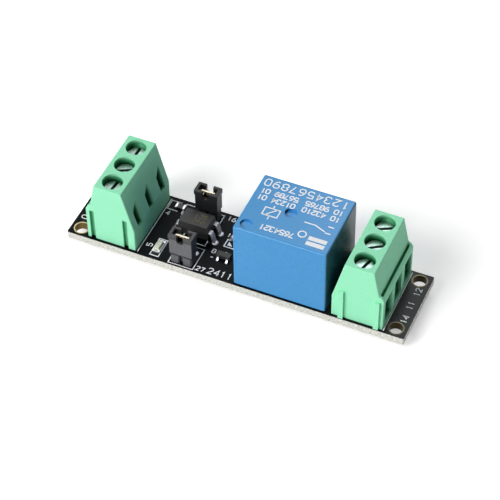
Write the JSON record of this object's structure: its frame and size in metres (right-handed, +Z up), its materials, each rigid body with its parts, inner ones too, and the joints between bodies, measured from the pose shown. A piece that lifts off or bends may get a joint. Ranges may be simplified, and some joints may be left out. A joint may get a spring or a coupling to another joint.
{
  "type": "relay module board",
  "caption": "Narrow black circuit board that carries a blue relay between green screw terminal blocks, with jumpers, an optocoupler and corner mounting holes.",
  "frame": {"origin": "centre of the mounting-hole rectangle on the underside of the board", "axes": "+X along the board from the signal terminal block to the contact terminal block, +Y across the board away from the two-pin jumper beside the LED, +Z up out of the component side"},
  "size_m": [0.07, 0.0168, 0.019],
  "materials": {
    "laminate": "black solder mask on glass-fibre laminate, satin",
    "tinned": "tinned copper, bright",
    "gold": "thin gold over nickel",
    "solder": "reflowed tin solder, bright",
    "green_housing": "green moulded polyamide, satin",
    "screw_steel": "zinc-plated steel",
    "clamp_steel": "nickel-plated steel",
    "tin_brass": "tin-plated brass strip",
    "blue_cover": "blue moulded polycarbonate, gloss",
    "black_plastic": "black moulded thermoplastic, fine matt",
    "epoxy": "black moulding epoxy, fine matt",
    "enamel_wire": "enamelled copper winding",
    "soft_iron": "nickel-plated soft iron",
    "spring_bronze": "phosphor bronze strip",
    "silver": "silver alloy contact",
    "white_ceramic": "white filled laminate, matt",
    "clear_lens": "clear cast epoxy, gloss",
    "diode_glass": "orange-red glass, clear and glossy",
    "resistor_glaze": "dark glaze on alumina"
  },
  "bodies": {
    "root": {"circuit_board": "laminate", "hole_eyelets": "gold", "solder_joints": "solder", "relay_cover": "blue_cover", "relay_base": "black_plastic", "relay_bobbin": "black_plastic", "relay_winding": "enamel_wire", "relay_core": "soft_iron", "relay_yoke": "soft_iron", "relay_open_contact": "tin_brass", "relay_closed_contact": "tin_brass", "relay_common_pin": "tin_brass", "relay_return_spring": "spring_bronze", "relay_coil_pin_1": "tinned", "relay_coil_pin_2": "tinned", "optocoupler_body": "epoxy", "optocoupler_legs": "tinned", "led_base": "white_ceramic", "led_ends": "tinned", "led_lens": "clear_lens", "resistor_1_body": "resistor_glaze", "resistor_2_body": "resistor_glaze", "resistor_3_body": "resistor_glaze", "resistor_ends": "tinned", "transistor_body": "epoxy", "transistor_legs": "tinned", "diode_body": "diode_glass", "diode_ends": "tinned", "input_block_housing": "green_housing", "input_contact_1": "tin_brass", "input_contact_2": "tin_brass", "input_contact_3": "tin_brass", "output_block_housing": "green_housing", "output_contact_1": "tin_brass", "output_contact_2": "tin_brass", "output_contact_3": "tin_brass", "near_header_base": "black_plastic", "near_header_pins": "gold", "far_header_base": "black_plastic", "far_header_pins": "gold"},
    "input_screw_1": {"input_screw_1": "screw_steel"},
    "input_clamp_1": {"input_clamp_1": "clamp_steel"},
    "input_screw_2": {"input_screw_2": "screw_steel"},
    "input_clamp_2": {"input_clamp_2": "clamp_steel"},
    "input_screw_3": {"input_screw_3": "screw_steel"},
    "input_clamp_3": {"input_clamp_3": "clamp_steel"},
    "output_screw_1": {"output_screw_1": "screw_steel"},
    "output_clamp_1": {"output_clamp_1": "clamp_steel"},
    "output_screw_2": {"output_screw_2": "screw_steel"},
    "output_clamp_2": {"output_clamp_2": "clamp_steel"},
    "output_screw_3": {"output_screw_3": "screw_steel"},
    "output_clamp_3": {"output_clamp_3": "clamp_steel"},
    "relay_armature": {"relay_armature": "soft_iron", "relay_leaf": "spring_bronze", "relay_moving_button": "silver"},
    "near_jumper": {"near_jumper_cap": "black_plastic", "near_jumper_clip": "gold"},
    "far_jumper": {"far_jumper_cap": "black_plastic", "far_jumper_clip": "gold"}
  },
  "joints": [
    {"name": "input_screw_1_turn", "type": "hinge", "parent": "root", "child": "input_screw_1", "pos_m": [-0.02565, -0.00508, 0.0135], "axis": [0, 0, -1], "range_deg": [0, 2160]},
    {"name": "input_clamp_1_lift", "type": "slide", "parent": "root", "child": "input_clamp_1", "axis": [0, 0, 1], "range_m": [0, 0.003]},
    {"name": "input_screw_2_turn", "type": "hinge", "parent": "root", "child": "input_screw_2", "pos_m": [-0.02565, 0, 0.0135], "axis": [0, 0, -1], "range_deg": [0, 2160]},
    {"name": "input_clamp_2_lift", "type": "slide", "parent": "root", "child": "input_clamp_2", "axis": [0, 0, 1], "range_m": [0, 0.003]},
    {"name": "input_screw_3_turn", "type": "hinge", "parent": "root", "child": "input_screw_3", "pos_m": [-0.02565, 0.00508, 0.0135], "axis": [0, 0, -1], "range_deg": [0, 2160]},
    {"name": "input_clamp_3_lift", "type": "slide", "parent": "root", "child": "input_clamp_3", "axis": [0, 0, 1], "range_m": [0, 0.003]},
    {"name": "output_screw_1_turn", "type": "hinge", "parent": "root", "child": "output_screw_1", "pos_m": [0.02557, 0.00508, 0.0135], "axis": [0, 0, -1], "range_deg": [0, 2160]},
    {"name": "output_clamp_1_lift", "type": "slide", "parent": "root", "child": "output_clamp_1", "axis": [0, 0, 1], "range_m": [0, 0.003]},
    {"name": "output_screw_2_turn", "type": "hinge", "parent": "root", "child": "output_screw_2", "pos_m": [0.02557, 0, 0.0135], "axis": [0, 0, -1], "range_deg": [0, 2160]},
    {"name": "output_clamp_2_lift", "type": "slide", "parent": "root", "child": "output_clamp_2", "axis": [0, 0, 1], "range_m": [0, 0.003]},
    {"name": "output_screw_3_turn", "type": "hinge", "parent": "root", "child": "output_screw_3", "pos_m": [0.02557, -0.00508, 0.0135], "axis": [0, 0, -1], "range_deg": [0, 2160]},
    {"name": "output_clamp_3_lift", "type": "slide", "parent": "root", "child": "output_clamp_3", "axis": [0, 0, 1], "range_m": [0, 0.003]},
    {"name": "relay_armature_swing", "type": "hinge", "parent": "root", "child": "relay_armature", "pos_m": [0.00297, -0.00044, 0.01289], "axis": [0, 1, 0], "range_deg": [0, 4], "stiffness_Nm_per_rad": 0.01, "springref_deg": -2.86},
    {"name": "near_jumper_lift", "type": "slide", "parent": "root", "child": "near_jumper", "axis": [0, 0, 1], "range_m": [0, 0.006]},
    {"name": "far_jumper_lift", "type": "slide", "parent": "root", "child": "far_jumper", "axis": [0, 0, 1], "range_m": [0, 0.006]}
  ],
  "couplings": [
    {"joint": "input_screw_1_turn", "follows": "input_clamp_1_lift", "rad_per_m": 12566},
    {"joint": "input_screw_2_turn", "follows": "input_clamp_2_lift", "rad_per_m": 12566},
    {"joint": "input_screw_3_turn", "follows": "input_clamp_3_lift", "rad_per_m": 12566},
    {"joint": "output_screw_1_turn", "follows": "output_clamp_1_lift", "rad_per_m": 12566},
    {"joint": "output_screw_2_turn", "follows": "output_clamp_2_lift", "rad_per_m": 12566},
    {"joint": "output_screw_3_turn", "follows": "output_clamp_3_lift", "rad_per_m": 12566}
  ]
}
